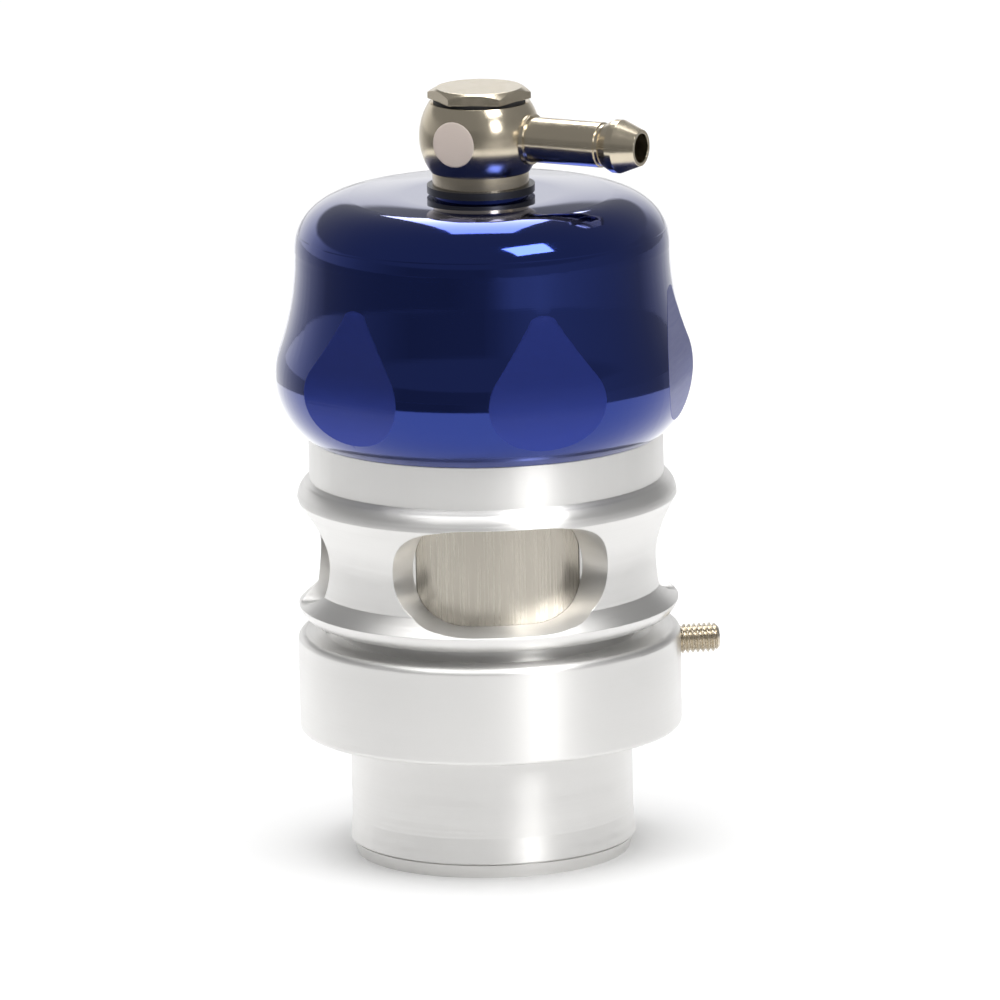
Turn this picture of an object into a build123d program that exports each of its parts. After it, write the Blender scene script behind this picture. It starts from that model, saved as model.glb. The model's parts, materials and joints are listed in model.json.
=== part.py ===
# Vent-to-atmosphere blow-off valve for a turbocharged intake, modelled as its separate pieces.
# Millimetres, +Z up. The origin is on the valve's axis, in the bottom face of the hose spigot.
# The centre of the front vent window faces -Y. Azimuths are in degrees from -Y towards +X.

import os
from math import asin, cos, radians, sin, sqrt, tan

from build123d import *

# Clearances
running_gap = 0.06         # radial, between pieces that turn or slide in each other
seat_gap = 0.05            # between faces that rest on each other on different bodies
thread_gap = 0.05          # radial, between plain cylinders that stand for two meshed threads

# Base adaptor: hose spigot and clamping collar, turned from one bar
inlet_radius = 16.0
spigot_wall = 3.0          # makes the 38 mm hose size
spigot_length = 17.1
bead_swell = 0.25          # slight swell that keeps the hose on
bead_height = 3.4
lip_height = 1.84
lip_groove_depth = 0.25
lip_taper = 0.6
collar_wall = 3.74
collar_shelf = 3.3         # collar's floor under the body's neck
collar_edge = 0.9
collar_root = 0.6

# Clamp screws through the collar, both on the side away from the front
screw_radius = 2.0         # M4
screw_drop = 3.2           # screw axis below the collar's top face
screw_socket = 2.0         # across the flats of the hexagon socket
screw_socket_depth = 2.2
screw_point_radius = 0.7
screw_end_chamfer = 0.3
screw_azimuth = 95.0
screw_spread = 120.0
long_screw_length = 8.0
backed_out = 2.75          # the long screw's distance from its home
home_sink = 0.15           # the short screw's end below the collar's surface

# Valve body
seat_width = 2.1           # makes the bore
neck_wall = 3.9            # outside the bore's radius
neck_stand_off = 1.9       # open ring between collar and lower rim
neck_chamfer = 0.6
neck_relief = 2.0          # depth of the groove in the open ring above the collar
neck_relief_start = 0.4    # below the collar's top
clamp_groove_depth = 1.4   # 45 degree sides
neck_land = 0.55           # between the clamp groove and the O-ring's groove
neck_ring_groove_depth = 1.65
neck_ring_groove_width = 2.1
neck_end = 1.95
waist_wall = 5.1
flare_reach = 2.4          # the lower rim stands this far out from the waist
flare_taper = 2.0
flare_height = 2.1
flare_roundness = 1.25
waist_height = 4.2         # start of the waist above the rim's underside
sweep_start = 8.4          # start of the concave sweep above the rim's underside
rim_reach = 2.4
rim_under_window_top = 0.4
rim_nose = 2.9             # height of the upper rim's rounded upper side
ring_inset = 1.7           # inside the upper rim
ring_height = 5.8
seat_height = 0.1          # valve seat above the rim's underside
bore_lead = 0.8
thread_shoulder = 2.0      # makes the M44 x 1.5 thread's mean radius
thread_length = 7.6
nose_step = 0.96
nose_tip = 1.4
nose_groove_depth = 1.45
nose_groove_width = 2.0

# Vent windows: two wide ones front and back, two nearly round ones at the sides
window_height = 14.6
window_sill = 2.3          # window's lower edge above the rim's underside
window_half_angle = 38.4
window_end_angle = 21.0
side_window_stretch = 0.3  # wider than high
window_cutter_reach = 4.0  # past the rims, so that the cuts come out in the open

# Piston and its seals
piston_head = 8.85         # piston's top above the windows
piston_wall = 2.4
piston_floor = 4.0
piston_lift = 14.0
piston_edge = 0.5
band_depth = 0.9
band_width = 3.0
band_drop = 6.5            # centre below the piston's top
piston_ring_width = 2.2
piston_ring_depth = 1.7
piston_ring_drop = 2.5
face_seal_inset = 0.3      # outside the inlet's radius
face_seal_width = 0.9
face_seal_depth = 1.2
face_seal_stand = 0.3

# Spring and its adjustable upper seat
wire_radius = 1.1
coil_clearance = 1.64      # inside the piston's cup
coil_turns = 7.0
guide_clearance = 0.9      # inside the coil
guide_wall = 3.3
guide_flange_reach = 2.0   # outside the coil
guide_flange = 2.2
preload_range = 4.5        # three turns of the cap's 1.5 mm thread
thrust_washer = 0.8        # lets the cap turn on the guide
shim_thickness = 0.5       # steel shim under the spring, on the piston's floor
shim_clearance = 0.6       # inside the piston's cup
shim_width = 6.0

# Cap
cap_gap = 0.1              # cap's lower face above the body's ring
cap_overhang = 0.2
cap_bulge_reach = 4.1
cap_bulge_height = 8.4
cap_waist_depth = 2.9
cap_wall_straight = 0.5
cap_corner_width = 7.5
cap_corner_height = 7.0
cap_thread_run_out = 0.45
cap_thread_chamfer = 0.6
cap_ring_margin = 0.25
cap_room = 9.85            # above the body's end
cap_crown = 5.5
cap_inner_fillet = 2.0
flat_count = 6
flat_depth = 1.2           # where it is deepest
flat_drop = 0.4            # deepest place below the widest part of the bulge
flat_arc = 24.0            # each flat is a little barrel-shaped from foot to tip
flat_turn = 4.0            # above its deepest place it turns hollow
flat_tip_reach = 0.3       # outside the cap's wall
flat_tip_height = 12.0
flat_azimuth = 13.0
boss_radius = 6.4
boss_height = 0.4

# Banjo bolt
bolt_radius = 4.0          # M8
bolt_flats = 12.1
bolt_head = 1.55
bolt_chamfer_angle = 30.0
bolt_crown_inset = 0.3
bolt_bore = 2.2
bolt_cross_bore = 1.5
bolt_azimuth = -41.7
bolt_reach = 0.3           # bolt's end below the inside of the cap's crown

# Banjo fitting
washer_radius = 7.25
washer_thickness = 1.0
top_washer_overhang = 0.15
top_washer_thickness = 0.4
hub_step = 0.18            # inside the ball's foot
hub_height = 1.85
ball_radius = 8.2
ball_foot_cut = 3.45       # the ball's lower and upper caps are cut off this deep
ball_crown_cut = 3.55
ball_flat_depth = 0.55     # the two side flats
gallery_depth = 1.2        # around the bolt
gallery_height = 4.0
stem_azimuth = 57.0
stem_radius = 3.05
stem_length = 10.4         # plain part, for the hose
stem_collar_step = 0.35
stem_collar = 0.65
stem_undercut = 0.5
stem_undercut_depth = 0.2
stem_wall = 1.05
barb_step = 0.55
barb_rise = 1.5
barb_land = 0.9
barb_taper = 2.9
tip_wall = 0.45
tail_step = 0.45
tail_wall = 1.1

# Radii that follow from the sizes above
spigot_radius = inlet_radius + spigot_wall
bead_radius = spigot_radius + bead_swell
lip_radius = spigot_radius - lip_taper
bore_radius = inlet_radius + seat_width
neck_radius = bore_radius + neck_wall
socket_radius = neck_radius + running_gap
collar_radius = socket_radius + collar_wall
waist_radius = bore_radius + waist_wall
flare_radius = waist_radius + flare_reach
flare_foot_radius = flare_radius - flare_taper
rim_radius = waist_radius + rim_reach
ring_radius = rim_radius - ring_inset
thread_radius = ring_radius - thread_shoulder
nose_radius = thread_radius - nose_step
piston_radius = bore_radius - running_gap
cup_radius = piston_radius - piston_wall
coil_radius = cup_radius - coil_clearance - wire_radius
guide_radius = coil_radius - wire_radius - guide_clearance
guide_bore = guide_radius - guide_wall
guide_flange_radius = coil_radius + wire_radius + guide_flange_reach
cap_bore = nose_radius + running_gap
cap_thread_radius = thread_radius + thread_gap
cap_foot_radius = ring_radius + cap_overhang
cap_bulge_radius = cap_foot_radius + cap_bulge_reach
cap_wall_radius = cap_bulge_radius - cap_waist_depth
hole_radius = bolt_radius + thread_gap
across_corners = bolt_flats / cos(radians(30))
top_washer_radius = bolt_flats / 2 + top_washer_overhang
gallery_radius = bolt_radius + gallery_depth
ball_foot = ball_radius - ball_foot_cut
ball_crown = ball_radius - ball_crown_cut
foot_radius = sqrt(ball_radius**2 - ball_foot**2)
crown_radius = sqrt(ball_radius**2 - ball_crown**2)
hub_radius = foot_radius - hub_step
stem_collar_radius = stem_radius + stem_collar_step
stem_bore = stem_radius - stem_wall
barb_radius = stem_radius + barb_step
stem_tip_radius = stem_bore + tip_wall
tail_radius = stem_radius - tail_step
tail_bore = tail_radius - tail_wall
screw_home = neck_radius - clamp_groove_depth + seat_gap
short_screw_length = collar_radius - home_sink - screw_home

# Heights that follow from the sizes above
collar_foot = spigot_length
socket_floor = collar_foot + collar_shelf
neck_foot = socket_floor + seat_gap
neck_groove_low = neck_foot + neck_end
neck_groove_high = neck_groove_low + neck_ring_groove_width
groove_half = screw_point_radius + seat_gap
screw_height = neck_groove_high + neck_land + clamp_groove_depth + groove_half
collar_top = screw_height + screw_drop
rim_foot = collar_top + neck_stand_off
seat_top = rim_foot + seat_height
waist_foot = rim_foot + waist_height
sweep_foot = rim_foot + sweep_start
window_middle = rim_foot + window_sill + window_height / 2
window_top = window_middle + window_height / 2
rim_edge = window_top - rim_under_window_top
ring_foot = rim_edge + rim_nose
ring_top = ring_foot + ring_height
thread_end = ring_top + thread_length
nose_foot = thread_end + nose_step
cap_thread_end = nose_foot + cap_thread_run_out
nose_groove_low = cap_thread_end + preload_range + cap_ring_margin
nose_groove_high = nose_groove_low + nose_groove_width
body_top = nose_groove_high + nose_tip
piston_foot = seat_top + seat_gap + face_seal_stand
piston_top = window_top + piston_head
cup_floor = piston_foot + piston_floor
spring_foot = cup_floor + shim_thickness
cap_foot = ring_top + cap_gap
cap_ceiling = body_top + cap_room
cap_top = cap_ceiling + cap_crown
washer_foot = cap_ceiling - thrust_washer - seat_gap
guide_top = washer_foot
guide_foot = guide_top - guide_flange
boss_top = cap_top + boss_height
washer_top = boss_top + washer_thickness
ball_foot_height = washer_top + hub_height
ball_height = ball_foot_height + ball_foot
ball_top = ball_height + ball_crown
top_washer_top = ball_top + top_washer_thickness
head_top = top_washer_top + bolt_head

# Places along the hose stem, from the ball's centre
stem_start = sqrt(ball_radius**2 - stem_collar_radius**2)
tail_end = gallery_radius + seat_gap
stem_shoulder = stem_start + stem_collar
stem_end = stem_shoulder + stem_length
barb_start = stem_end + stem_undercut
barb_peak = barb_start + barb_rise
barb_end = barb_peak + barb_land
stem_tip = barb_end + barb_taper


def heading(azimuth):
    # Horizontal unit vector of an azimuth
    return Vector(sin(radians(azimuth)), -cos(radians(azimuth)), 0)


def radial_plane(azimuth, distance, height):
    # Plane that faces outwards, with its own x running sideways and its own y up
    outward = heading(azimuth)
    sideways = Vector(0, 0, 1).cross(outward)
    return Plane(origin=outward * distance + Vector(0, 0, height), x_dir=sideways, z_dir=outward)


def lengthwise_plane(azimuth, height):
    # Upright plane through the valve's axis, with its own x running outwards
    outward = heading(azimuth)
    return Plane(origin=(0, 0, height), x_dir=outward, z_dir=outward.cross(Vector(0, 0, 1)))


def turned(points):
    # Solid of revolution about the valve's axis, from (radius, height) points
    with BuildPart() as piece:
        with BuildSketch(Plane.XZ):
            with BuildLine():
                Polyline(*points, close=True)
            make_face()
        revolve(axis=Axis.Z)
    return piece


def plain_ring(inner, outer, low, high):
    # Ring of rectangular section
    return turned([(inner, low), (outer, low), (outer, high), (inner, high)])


def round_ring(inner, outer, height):
    # O-ring that fills a groove from its inner to its outer radius
    with BuildPart(Plane.XY.offset(height)) as piece:
        Torus((inner + outer) / 2, (outer - inner) / 2)
    return piece


def save(piece, name):
    piece.part.label = name
    export_step(piece.part, f"parts/{name}.step")


os.makedirs("parts", exist_ok=True)

# Base adaptor
lip_line = lip_height + lip_groove_depth
with BuildPart() as base_adaptor:
    with BuildSketch(Plane.XZ):
        with BuildLine():
            Polyline(
                (inlet_radius, 0),
                (lip_radius, 0),
                (spigot_radius, lip_height),
                (spigot_radius - lip_groove_depth, lip_height),
                (spigot_radius - lip_groove_depth, lip_line),
                (bead_radius, lip_line),
                (spigot_radius, lip_line + bead_height),
                (spigot_radius, collar_foot),
                (collar_radius, collar_foot),
                (collar_radius, collar_top),
                (socket_radius, collar_top),
                (socket_radius, socket_floor),
                (inlet_radius, socket_floor),
                close=True,
            )
        make_face()
    revolve(axis=Axis.Z)
    outer_edges = base_adaptor.edges().filter_by(GeomType.CIRCLE).group_by(SortBy.RADIUS)[-1]
    fillet(outer_edges.sort_by(Axis.Z)[-1], collar_edge)
    outer_edges = base_adaptor.edges().filter_by(GeomType.CIRCLE).group_by(SortBy.RADIUS)[-1]
    fillet(outer_edges.sort_by(Axis.Z)[0], collar_root)
    for azimuth in (screw_azimuth, screw_azimuth + screw_spread):
        with BuildSketch(radial_plane(azimuth, inlet_radius + 1, screw_height)):
            Circle(screw_radius + thread_gap)
        extrude(amount=collar_radius, mode=Mode.SUBTRACT)
save(base_adaptor, "base_adaptor")


def clamp_screw(azimuth, tip, length):
    # Socket set screw with a blunt cone point towards the axis
    shoulder = tip + screw_radius - screw_point_radius
    with BuildPart() as screw:
        with BuildSketch(lengthwise_plane(azimuth, screw_height)):
            with BuildLine():
                Polyline(
                    (tip, 0),
                    (tip, screw_point_radius),
                    (shoulder, screw_radius),
                    (tip + length - screw_end_chamfer, screw_radius),
                    (tip + length, screw_radius - screw_end_chamfer),
                    (tip + length, 0),
                    close=True,
                )
            make_face()
        revolve(axis=Axis((0, 0, screw_height), tuple(heading(azimuth))))
        with BuildSketch(radial_plane(azimuth, tip + length, screw_height)):
            RegularPolygon(screw_socket / 2, 6, major_radius=False)
        extrude(amount=-screw_socket_depth, mode=Mode.SUBTRACT)
    return screw


save(clamp_screw(screw_azimuth, screw_home + backed_out, long_screw_length), "clamp_screw_backed_out")
save(clamp_screw(screw_azimuth + screw_spread, screw_home, short_screw_length), "clamp_screw_home")

# Valve body
neck_groove_floor = neck_radius - neck_ring_groove_depth
nose_groove_floor = nose_radius - nose_groove_depth
groove_floor = neck_radius - clamp_groove_depth
with BuildPart() as valve_body:
    with BuildSketch(Plane.XZ):
        with BuildLine():
            Polyline(
                (flare_foot_radius, rim_foot),
                (neck_radius - neck_relief, rim_foot),
                (neck_radius - neck_relief, collar_top - neck_relief_start),
                (neck_radius, collar_top - neck_relief_start),
                (neck_radius, screw_height + groove_half + clamp_groove_depth),
                (groove_floor, screw_height + groove_half),
                (groove_floor, screw_height - groove_half),
                (neck_radius, screw_height - groove_half - clamp_groove_depth),
                (neck_radius, neck_groove_high),
                (neck_groove_floor, neck_groove_high),
                (neck_groove_floor, neck_groove_low),
                (neck_radius, neck_groove_low),
                (neck_radius, neck_foot + neck_chamfer),
                (neck_radius - neck_chamfer, neck_foot),
                (inlet_radius, neck_foot),
                (inlet_radius, seat_top),
                (bore_radius, seat_top),
                (bore_radius, body_top - bore_lead),
                (bore_radius + bore_lead / 2, body_top),
                (nose_radius - neck_chamfer, body_top),
                (nose_radius, body_top - neck_chamfer),
                (nose_radius, nose_groove_high),
                (nose_groove_floor, nose_groove_high),
                (nose_groove_floor, nose_groove_low),
                (nose_radius, nose_groove_low),
                (nose_radius, nose_foot),
                (thread_radius, thread_end),
                (thread_radius, ring_top),
                (ring_radius, ring_top),
                (ring_radius, ring_foot),
            )
            # The upper rim is a rounded nose over a concave sweep that leaves the waist upright
            TangentArc((rim_radius, rim_edge), (ring_radius, ring_foot), tangent=(0, 1))
            TangentArc((waist_radius, sweep_foot), (rim_radius, rim_edge), tangent=(0, 1))
            Line((waist_radius, sweep_foot), (waist_radius, waist_foot))
            Line((waist_radius, waist_foot), (flare_radius, rim_foot + flare_height))
            RadiusArc(
                (flare_radius, rim_foot + flare_height),
                (flare_foot_radius, rim_foot),
                flare_height * flare_roundness,
            )
        make_face()
    revolve(axis=Axis.Z)
    # Each wide window's end walls point at the axis, so its width grows with the distance from it
    flat_share = tan(radians(window_half_angle - window_end_angle))
    end_share = tan(radians(window_half_angle)) - flat_share
    for azimuth in (0, 180):
        for distance in (inlet_radius * 0.9, flare_radius + window_cutter_reach):
            with BuildSketch(radial_plane(azimuth, distance, window_middle)):
                Rectangle(2 * distance * flat_share, window_height)
                with Locations((-distance * flat_share, 0), (distance * flat_share, 0)):
                    Ellipse(distance * end_share, window_height / 2)
        loft(mode=Mode.SUBTRACT)
    for azimuth in (90, 270):
        with BuildSketch(radial_plane(azimuth, inlet_radius * 0.9, window_middle)):
            SlotOverall(window_height + side_window_stretch, window_height)
        extrude(amount=flare_radius, mode=Mode.SUBTRACT)
save(valve_body, "valve_body")
neck_ring_height = (neck_groove_low + neck_groove_high) / 2
nose_ring_height = (nose_groove_low + nose_groove_high) / 2
save(round_ring(neck_groove_floor, neck_radius + running_gap / 2, neck_ring_height), "neck_o_ring")
save(round_ring(nose_groove_floor, nose_radius + running_gap / 2, nose_ring_height), "cap_o_ring")

# Piston, a cup that opens upwards
band_height = piston_top - band_drop
ring_height_in_piston = piston_top - piston_ring_drop
band_floor = piston_radius - band_depth
piston_ring_floor = piston_radius - piston_ring_depth
seal_inner = inlet_radius + face_seal_inset
face_seal_radius = seal_inner + face_seal_width
with BuildPart() as piston:
    with BuildSketch(Plane.XZ):
        with BuildLine():
            Polyline(
                (0, piston_foot),
                (seal_inner, piston_foot),
                (seal_inner, piston_foot + face_seal_depth),
                (face_seal_radius, piston_foot + face_seal_depth),
                (face_seal_radius, piston_foot),
                (piston_radius - piston_edge, piston_foot),
                (piston_radius, piston_foot + piston_edge),
                (piston_radius, band_height - band_width / 2),
                (band_floor, band_height - band_width / 2),
                (band_floor, band_height + band_width / 2),
                (piston_radius, band_height + band_width / 2),
                (piston_radius, ring_height_in_piston - piston_ring_width / 2),
                (piston_ring_floor, ring_height_in_piston - piston_ring_width / 2),
                (piston_ring_floor, ring_height_in_piston + piston_ring_width / 2),
                (piston_radius, ring_height_in_piston + piston_ring_width / 2),
                (piston_radius, piston_top - piston_edge),
                (piston_radius - piston_edge, piston_top),
                (cup_radius, piston_top),
                (cup_radius, cup_floor),
                (0, cup_floor),
                close=True,
            )
        make_face()
    revolve(axis=Axis.Z)
    floor_edge = piston.edges().filter_by(GeomType.CIRCLE).filter_by(
        lambda edge: abs(edge.radius - cup_radius) < 0.001 and abs(edge.center().Z - cup_floor) < 0.001
    )
    fillet(floor_edge, piston_edge)
save(piston, "piston")
save(
    plain_ring(
        band_floor,
        bore_radius - running_gap / 2,
        band_height - band_width / 2,
        band_height + band_width / 2,
    ),
    "piston_guide_band",
)
save(round_ring(piston_ring_floor, bore_radius - running_gap / 3, ring_height_in_piston), "piston_o_ring")
save(
    plain_ring(
        seal_inner,
        face_seal_radius,
        piston_foot - face_seal_stand,
        piston_foot + face_seal_depth,
    ),
    "piston_face_seal",
)
shim_radius = cup_radius - shim_clearance
save(plain_ring(shim_radius - shim_width, shim_radius, cup_floor, spring_foot), "spring_shim")

# Thrust washer, and under it the spring guide: the spring's upper seat, whose sleeve stops the piston
save(plain_ring(guide_bore, guide_flange_radius, washer_foot, washer_foot + thrust_washer), "thrust_washer")
guide_tip = spring_foot + piston_lift + seat_gap
spring_guide = turned(
    [
        (guide_bore, guide_tip),
        (guide_radius, guide_tip),
        (guide_radius, guide_foot),
        (guide_flange_radius, guide_foot),
        (guide_flange_radius, guide_top),
        (guide_bore, guide_top),
    ]
)
save(spring_guide, "spring_guide")

# Spring, from the piston's floor to the guide's flange
spring_run = guide_foot - spring_foot - 2 * wire_radius - 2 * seat_gap
coil = Helix(
    pitch=spring_run / coil_turns,
    height=spring_run,
    radius=coil_radius,
    center=(0, 0, spring_foot + wire_radius + seat_gap),
)
with BuildPart() as return_spring:
    with BuildLine():
        add(coil)
    with BuildSketch(Plane(origin=coil @ 0, z_dir=coil % 0)):
        Circle(wire_radius)
    sweep()
save(return_spring, "return_spring")

# Cap. Its side is a bulging arc that turns into a hollow one, which ends upright in the wall.
bulge_height = cap_foot + cap_bulge_height
bulge_arc = (cap_bulge_reach**2 + cap_bulge_height**2) / (2 * cap_bulge_reach)
wall_foot = cap_top - cap_corner_height - cap_wall_straight
rise = wall_foot - bulge_height
arc_sum = (cap_waist_depth**2 + rise**2) / (2 * cap_waist_depth)
turn_cosine = (arc_sum - cap_waist_depth) / arc_sum
turn_sine = rise / arc_sum
bulge_centre = cap_bulge_radius - bulge_arc
turn_point = (bulge_centre + bulge_arc * turn_cosine, bulge_height + bulge_arc * turn_sine)
with BuildPart() as cap:
    with BuildSketch(Plane.XZ):
        with BuildLine():
            bulge = ThreePointArc((cap_foot_radius, cap_foot), (cap_bulge_radius, bulge_height), turn_point)
            hollow = TangentArc(turn_point, (cap_wall_radius, wall_foot), tangent=bulge % 1)
            wall = Line(hollow @ 1, (cap_wall_radius, wall_foot + cap_wall_straight))
            corner = EllipticalCenterArc(
                (cap_wall_radius - cap_corner_width, wall_foot + cap_wall_straight),
                cap_corner_width,
                cap_corner_height,
                start_angle=0,
                arc_size=90,
            )
            Polyline(
                corner @ 1,
                (boss_radius, cap_top),
                (boss_radius, boss_top),
                (hole_radius, boss_top),
                (hole_radius, cap_ceiling),
                (cap_bore, cap_ceiling),
                (cap_bore, cap_thread_end),
                (cap_thread_radius, cap_thread_end),
                (cap_thread_radius, cap_foot + cap_thread_chamfer),
                (cap_thread_radius + cap_thread_chamfer, cap_foot),
                bulge @ 0,
            )
        make_face()
    revolve(axis=Axis.Z)
    ceiling_edge = cap.edges().filter_by(GeomType.CIRCLE).filter_by(
        lambda edge: abs(edge.radius - cap_bore) < 0.001 and abs(edge.center().Z - cap_ceiling) < 0.001
    )
    fillet(ceiling_edge, cap_inner_fillet)
    # Six flats for the hand, barrel-shaped at the foot and narrowing to a tip in the hollow
    flat_peak = cap_bulge_radius - flat_depth
    sag_angle = asin(flat_turn / flat_arc)
    flat_shift = flat_peak - flat_arc * (1 - cos(sag_angle))
    flat_foot = flat_peak - flat_arc * (1 - cos(2 * sag_angle))
    tip_radius = cap_wall_radius + flat_tip_reach
    for index in range(flat_count):
        azimuth = flat_azimuth + index * 360 / flat_count
        with BuildSketch(lengthwise_plane(azimuth, bulge_height - flat_drop)):
            with BuildLine():
                barrel = ThreePointArc(
                    (flat_foot, -flat_arc * sin(2 * sag_angle)),
                    (flat_peak, 0),
                    (flat_shift, flat_turn),
                )
                TangentArc((flat_shift, flat_turn), (tip_radius, flat_tip_height), tangent=barrel % 1)
                Polyline(
                    (tip_radius, flat_tip_height),
                    (tip_radius, 2 * flat_tip_height),
                    (2 * cap_bulge_radius, 2 * flat_tip_height),
                    (2 * cap_bulge_radius, -flat_arc * sin(2 * sag_angle)),
                    (flat_foot, -flat_arc * sin(2 * sag_angle)),
                )
            make_face()
        extrude(amount=cap_bulge_radius, both=True, mode=Mode.SUBTRACT)
save(cap, "cap")

# Banjo washers, one under the fitting and a thin one under the bolt's head
save(plain_ring(hole_radius, washer_radius, boss_top, washer_top), "lower_washer")
save(plain_ring(hole_radius, top_washer_radius, ball_top, top_washer_top), "upper_washer")

# Banjo ball, with the gallery that passes air from the bolt's cross holes to the stem
with BuildPart() as banjo_ball:
    with BuildSketch(Plane.XZ):
        with BuildLine():
            Polyline(
                (crown_radius, ball_top),
                (hole_radius, ball_top),
                (hole_radius, ball_height + gallery_height / 2),
                (gallery_radius, ball_height + gallery_height / 2),
                (gallery_radius, ball_height - gallery_height / 2),
                (hole_radius, ball_height - gallery_height / 2),
                (hole_radius, washer_top),
                (hub_radius, washer_top),
                (hub_radius, ball_foot_height),
                (foot_radius, ball_foot_height),
            )
            ThreePointArc(
                (foot_radius, ball_foot_height),
                (ball_radius, ball_height),
                (crown_radius, ball_top),
            )
        make_face()
    revolve(axis=Axis.Z)
    for azimuth in (stem_azimuth - 90, stem_azimuth + 90):
        with BuildSketch(radial_plane(azimuth, ball_radius - ball_flat_depth, ball_height)):
            Circle(ball_radius)
        extrude(amount=ball_radius, mode=Mode.SUBTRACT)
    with BuildSketch(radial_plane(stem_azimuth, stem_start, ball_height)):
        Circle(stem_collar_radius + seat_gap)
    extrude(amount=ball_radius, mode=Mode.SUBTRACT)
    with BuildSketch(radial_plane(stem_azimuth, bolt_radius, ball_height)):
        Circle(tail_radius)
    extrude(amount=ball_radius, mode=Mode.SUBTRACT)
save(banjo_ball, "banjo_ball")

# Hose stem with its barb, pressed into the ball
with BuildPart() as hose_stem:
    with BuildSketch(lengthwise_plane(stem_azimuth, ball_height)):
        with BuildLine():
            Polyline(
                (tail_end, tail_bore),
                (tail_end, tail_radius),
                (stem_start, tail_radius),
                (stem_start, stem_collar_radius),
                (stem_shoulder, stem_collar_radius),
                (stem_shoulder, stem_radius),
                (stem_end, stem_radius),
                (stem_end, stem_radius - stem_undercut_depth),
                (barb_start, stem_radius - stem_undercut_depth),
                (barb_peak, barb_radius),
                (barb_end, barb_radius),
                (stem_tip, stem_tip_radius),
                (stem_tip, stem_bore),
                (stem_shoulder, stem_bore),
                (stem_shoulder, tail_bore),
                close=True,
            )
        make_face()
    revolve(axis=Axis((0, 0, ball_height), tuple(heading(stem_azimuth))))
save(hose_stem, "hose_stem")

# Banjo bolt, hollow from its end up to the cross holes
bolt_end = cap_ceiling - bolt_reach
head_foot = top_washer_top
head_crown = bolt_flats / 2 - bolt_crown_inset
head_reach = across_corners / 2 + 1
head_shoulder = head_top - (head_reach - head_crown) * tan(radians(bolt_chamfer_angle))
with BuildPart() as banjo_bolt:
    with BuildSketch(Plane.XY.offset(head_foot)):
        RegularPolygon(bolt_flats / 2, 6, major_radius=False, rotation=bolt_azimuth - 90)
    extrude(amount=bolt_head)
    with BuildSketch(Plane.XZ):
        with BuildLine():
            Polyline(
                (0, head_foot),
                (head_reach, head_foot),
                (head_reach, head_shoulder),
                (head_crown, head_top),
                (0, head_top),
                close=True,
            )
        make_face()
    revolve(axis=Axis.Z, mode=Mode.INTERSECT)
    with BuildSketch(Plane.XY.offset(bolt_end)):
        Circle(bolt_radius)
    extrude(amount=head_foot - bolt_end)
    with BuildSketch(Plane.XY.offset(bolt_end)):
        Circle(bolt_bore)
    extrude(amount=ball_height + bolt_cross_bore - bolt_end, mode=Mode.SUBTRACT)
    with BuildSketch(lengthwise_plane(stem_azimuth + 90, ball_height)):
        Circle(bolt_cross_bore)
    extrude(amount=bolt_radius + 1, both=True, mode=Mode.SUBTRACT)
save(banjo_bolt, "banjo_bolt")
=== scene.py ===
import json
from math import cos, pi, radians, sin, sqrt, tau
import bmesh
import bpy
from mathutils import Matrix, Vector

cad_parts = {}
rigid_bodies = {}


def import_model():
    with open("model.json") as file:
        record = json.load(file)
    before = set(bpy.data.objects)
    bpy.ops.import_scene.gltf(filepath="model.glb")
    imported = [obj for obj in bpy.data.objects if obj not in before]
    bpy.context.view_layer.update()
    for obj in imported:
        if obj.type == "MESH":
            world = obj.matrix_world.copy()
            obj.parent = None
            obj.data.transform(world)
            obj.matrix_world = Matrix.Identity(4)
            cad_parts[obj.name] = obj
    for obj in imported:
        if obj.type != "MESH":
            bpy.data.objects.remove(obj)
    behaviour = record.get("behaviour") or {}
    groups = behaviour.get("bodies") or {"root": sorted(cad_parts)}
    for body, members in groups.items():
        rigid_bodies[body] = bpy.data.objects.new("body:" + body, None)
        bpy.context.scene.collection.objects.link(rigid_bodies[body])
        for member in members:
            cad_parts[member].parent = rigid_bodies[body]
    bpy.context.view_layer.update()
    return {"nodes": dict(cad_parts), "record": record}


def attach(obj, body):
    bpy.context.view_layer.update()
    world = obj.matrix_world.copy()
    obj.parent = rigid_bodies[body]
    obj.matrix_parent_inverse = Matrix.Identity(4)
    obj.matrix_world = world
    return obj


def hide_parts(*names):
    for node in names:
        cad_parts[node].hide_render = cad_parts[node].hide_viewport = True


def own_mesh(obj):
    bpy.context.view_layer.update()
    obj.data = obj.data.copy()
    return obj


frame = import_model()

nodes = frame["nodes"]
record = frame["record"]
mm = 0.001
weld = 0.001 * mm  # points nearer than this are one point

# View: a long lens from just left of the front, as in the photograph
view = {
    "azimuth": -5.0,       # degrees from -Y towards +X
    "distance": 1.900,     # horizontal, from the valve's axis
    "height": 0.463,       # above the bench
    "pixelsPerMm": 7.42,   # at the axis
    "imageSize": 1000,
    "sensorWidth": 36,
    "farEnd": 20,
    "aimSide": 0.00175,    # the aim is this far right of the axis
    "aimHeight": 0.0479,
    "roll": -1.106,        # degrees, the top leans left
}


def headings(azimuth):
    # Level directions: outward at that azimuth, and to the right as seen from there
    angle = radians(azimuth)
    return Vector((sin(angle), -cos(angle), 0)), Vector((cos(angle), sin(angle), 0))


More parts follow.
